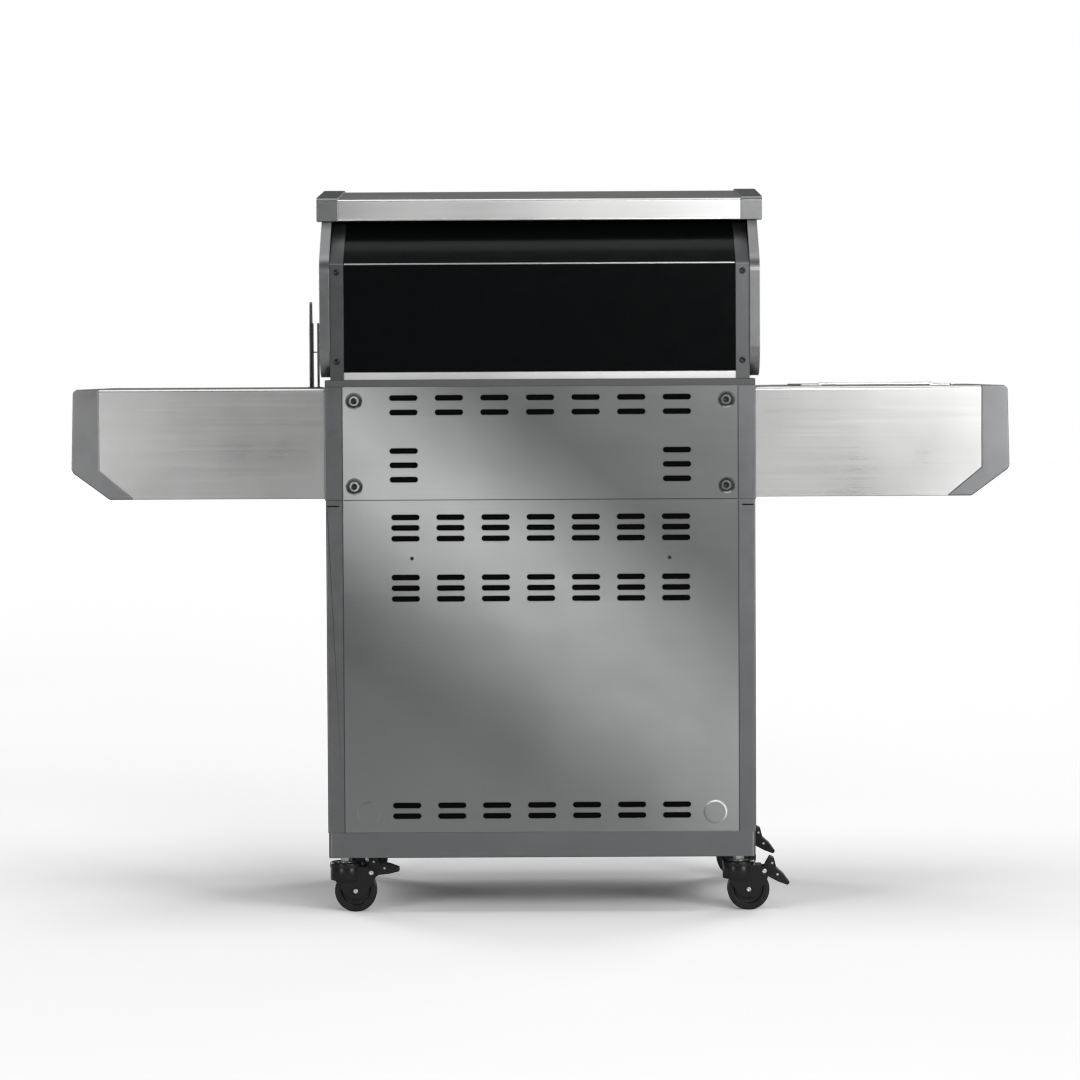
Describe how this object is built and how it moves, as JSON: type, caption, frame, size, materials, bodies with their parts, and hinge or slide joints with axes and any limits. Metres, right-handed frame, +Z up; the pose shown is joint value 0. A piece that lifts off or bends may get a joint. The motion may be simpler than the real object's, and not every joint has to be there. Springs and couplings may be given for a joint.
{
  "type": "gas barbecue grill",
  "caption": "Cart-style gas barbecue grill: hinged hood over a firebox, side shelves, a side burner, control knobs, cabinet doors and braked swivel casters.",
  "frame": {"origin": "on the floor under the middle of the bounding box of the closed grill", "axes": "+X to the right of a cook who faces the grill, +Y from the cook to the back of the grill, +Z up"},
  "size_m": [1.5496, 0.632, 1.2107],
  "materials": {
    "charcoal": "satin powder coat",
    "panel_steel": "satin, slightly darkened",
    "stainless": "brushed along its length",
    "porcelain": "gloss black enamel",
    "casting": "dark satin paint on cast aluminium",
    "firebox_cast": "dark satin",
    "black_steel": "satin black",
    "cast_iron": "seasoned",
    "wire": "bright",
    "bright": "polished",
    "pipe": "mill",
    "black_plastic": "fine grain",
    "wheel_plastic": "satin",
    "glass": "clear",
    "red": "matt",
    "burner_steel": "plain"
  },
  "bodies": {
    "grill_body": {"cart_base": "charcoal", "cart_side_left": "charcoal", "cart_side_right": "charcoal", "cart_rear_panel": "panel_steel", "cart_header": "charcoal", "door_hinge_pins": "bright", "caster_stems": "bright", "upper_side_panels": "charcoal", "upper_rear_panel": "panel_steel", "rear_fasteners": "black_steel", "control_panel": "stainless", "firebox": "firebox_cast", "rear_trim_strip": "stainless", "burner_tubes": "burner_steel", "heat_plates": "burner_steel", "cooking_grids": "cast_iron", "warming_rack": "wire", "gas_manifold": "pipe", "hood_back_panel": "porcelain", "hood_back_brackets": "casting", "side_shelf_left": "stainless", "side_shelf_right": "stainless", "shelf_ends": "casting", "side_burner": "burner_steel", "side_burner_grate": "cast_iron", "side_burner_hinge": "bright", "rotisserie_bracket": "casting"},
    "lid": {"lid_skin": "stainless", "lid_ends": "casting", "lid_pivot_pins": "bright", "lid_handle": "bright", "gauge_case": "bright", "gauge_lens": "glass"},
    "gauge_needle": {"gauge_needle": "red"},
    "door_left": {"door_left": "stainless", "door_handle_left": "bright"},
    "door_right": {"door_right": "stainless", "door_handle_right": "bright"},
    "grease_tray": {"grease_tray": "stainless"},
    "side_burner_lid": {"side_burner_lid": "stainless"},
    "valve_stem_left": {"valve_stem_left": "bright"},
    "knob_left": {"knob_left": "black_plastic"},
    "valve_stem_centre": {"valve_stem_centre": "bright"},
    "knob_centre": {"knob_centre": "black_plastic"},
    "valve_stem_right": {"valve_stem_right": "bright"},
    "knob_right": {"knob_right": "black_plastic"},
    "valve_stem_side": {"valve_stem_side": "bright"},
    "knob_side": {"knob_side": "black_plastic"},
    "fork_rear_left": {"caster_fork_rear_left": "black_steel"},
    "wheel_rear_left": {"caster_wheel_rear_left": "wheel_plastic"},
    "brake_rear_left": {"caster_brake_rear_left": "black_plastic"},
    "fork_rear_right": {"caster_fork_rear_right": "black_steel"},
    "wheel_rear_right": {"caster_wheel_rear_right": "wheel_plastic"},
    "brake_rear_right": {"caster_brake_rear_right": "black_plastic"},
    "fork_front_left": {"caster_fork_front_left": "black_steel"},
    "wheel_front_left": {"caster_wheel_front_left": "wheel_plastic"},
    "brake_front_left": {"caster_brake_front_left": "black_plastic"},
    "fork_front_right": {"caster_fork_front_right": "black_steel"},
    "wheel_front_right": {"caster_wheel_front_right": "wheel_plastic"},
    "brake_front_right": {"caster_brake_front_right": "black_plastic"}
  },
  "joints": [
    {"name": "lid_hinge", "type": "hinge", "parent": "grill_body", "child": "lid", "pos_m": [0, 0.262, 0.972], "axis": [-1, 0, 0], "range_deg": [0, 90]},
    {"name": "gauge_needle_turn", "type": "hinge", "parent": "lid", "child": "gauge_needle", "pos_m": [0, -0.19671, 1.004], "axis": [0, 0.9968, -0.0805], "range_deg": [0, 270]},
    {"name": "door_left_hinge", "type": "hinge", "parent": "grill_body", "child": "door_left", "pos_m": [-0.343, -0.2195, 0.39], "axis": [0, 0, -1], "range_deg": [0, 105]},
    {"name": "door_right_hinge", "type": "hinge", "parent": "grill_body", "child": "door_right", "pos_m": [0.343, -0.2195, 0.39], "axis": [0, 0, 1], "range_deg": [0, 105]},
    {"name": "grease_tray_slide", "type": "slide", "parent": "grill_body", "child": "grease_tray", "axis": [0, -1, 0], "range_m": [0, 0.3]},
    {"name": "side_burner_lid_hinge", "type": "hinge", "parent": "grill_body", "child": "side_burner_lid", "pos_m": [-0.565, 0.163, 0.8738], "axis": [-1, 0, 0], "range_deg": [0, 95]},
    {"name": "valve_push_left", "type": "slide", "parent": "grill_body", "child": "valve_stem_left", "axis": [0, 1, 0], "range_m": [0, 0.003], "stiffness_N_per_m": 600},
    {"name": "knob_turn_left", "type": "hinge", "parent": "valve_stem_left", "child": "knob_left", "pos_m": [-0.19, -0.29, 0.79], "axis": [0, -1, 0], "range_deg": [0, 135]},
    {"name": "valve_push_centre", "type": "slide", "parent": "grill_body", "child": "valve_stem_centre", "axis": [0, 1, 0], "range_m": [0, 0.003], "stiffness_N_per_m": 600},
    {"name": "knob_turn_centre", "type": "hinge", "parent": "valve_stem_centre", "child": "knob_centre", "pos_m": [0, -0.29, 0.79], "axis": [0, -1, 0], "range_deg": [0, 135]},
    {"name": "valve_push_right", "type": "slide", "parent": "grill_body", "child": "valve_stem_right", "axis": [0, 1, 0], "range_m": [0, 0.003], "stiffness_N_per_m": 600},
    {"name": "knob_turn_right", "type": "hinge", "parent": "valve_stem_right", "child": "knob_right", "pos_m": [0.19, -0.29, 0.79], "axis": [0, -1, 0], "range_deg": [0, 135]},
    {"name": "valve_push_side", "type": "slide", "parent": "grill_body", "child": "valve_stem_side", "axis": [0, 1, 0], "range_m": [0, 0.003], "stiffness_N_per_m": 600},
    {"name": "knob_turn_side", "type": "hinge", "parent": "valve_stem_side", "child": "knob_side", "pos_m": [-0.565, -0.29, 0.79], "axis": [0, -1, 0], "range_deg": [0, 135]},
    {"name": "caster_swivel_rear_left", "type": "hinge", "parent": "grill_body", "child": "fork_rear_left", "pos_m": [-0.327, 0.27, 0.075], "axis": [0, 0, 1], "continuous": true},
    {"name": "wheel_spin_rear_left", "type": "hinge", "parent": "fork_rear_left", "child": "wheel_rear_left", "pos_m": [-0.343, 0.27, 0.0345], "axis": [0, 1, 0], "continuous": true},
    {"name": "brake_lever_rear_left", "type": "hinge", "parent": "fork_rear_left", "child": "brake_rear_left", "pos_m": [-0.369, 0.27, 0.065], "axis": [0, 1, 0], "range_deg": [0, 34]},
    {"name": "caster_swivel_rear_right", "type": "hinge", "parent": "grill_body", "child": "fork_rear_right", "pos_m": [0.327, 0.27, 0.075], "axis": [0, 0, 1], "continuous": true},
    {"name": "wheel_spin_rear_right", "type": "hinge", "parent": "fork_rear_right", "child": "wheel_rear_right", "pos_m": [0.311, 0.27, 0.0345], "axis": [0, 1, 0], "continuous": true},
    {"name": "brake_lever_rear_right", "type": "hinge", "parent": "fork_rear_right", "child": "brake_rear_right", "pos_m": [0.285, 0.27, 0.065], "axis": [0, -1, 0], "range_deg": [0, 34]},
    {"name": "caster_swivel_front_left", "type": "hinge", "parent": "grill_body", "child": "fork_front_left", "pos_m": [-0.327, -0.168, 0.075], "axis": [0, 0, 1], "continuous": true},
    {"name": "wheel_spin_front_left", "type": "hinge", "parent": "fork_front_left", "child": "wheel_front_left", "pos_m": [-0.343, -0.168, 0.0345], "axis": [0, 1, 0], "continuous": true},
    {"name": "brake_lever_front_left", "type": "hinge", "parent": "fork_front_left", "child": "brake_front_left", "pos_m": [-0.369, -0.168, 0.065], "axis": [0, 1, 0], "range_deg": [0, 34]},
    {"name": "caster_swivel_front_right", "type": "hinge", "parent": "grill_body", "child": "fork_front_right", "pos_m": [0.327, -0.168, 0.075], "axis": [0, 0, 1], "continuous": true},
    {"name": "wheel_spin_front_right", "type": "hinge", "parent": "fork_front_right", "child": "wheel_front_right", "pos_m": [0.311, -0.168, 0.0345], "axis": [0, 1, 0], "continuous": true},
    {"name": "brake_lever_front_right", "type": "hinge", "parent": "fork_front_right", "child": "brake_front_right", "pos_m": [0.285, -0.168, 0.065], "axis": [0, -1, 0], "range_deg": [0, 34]}
  ]
}
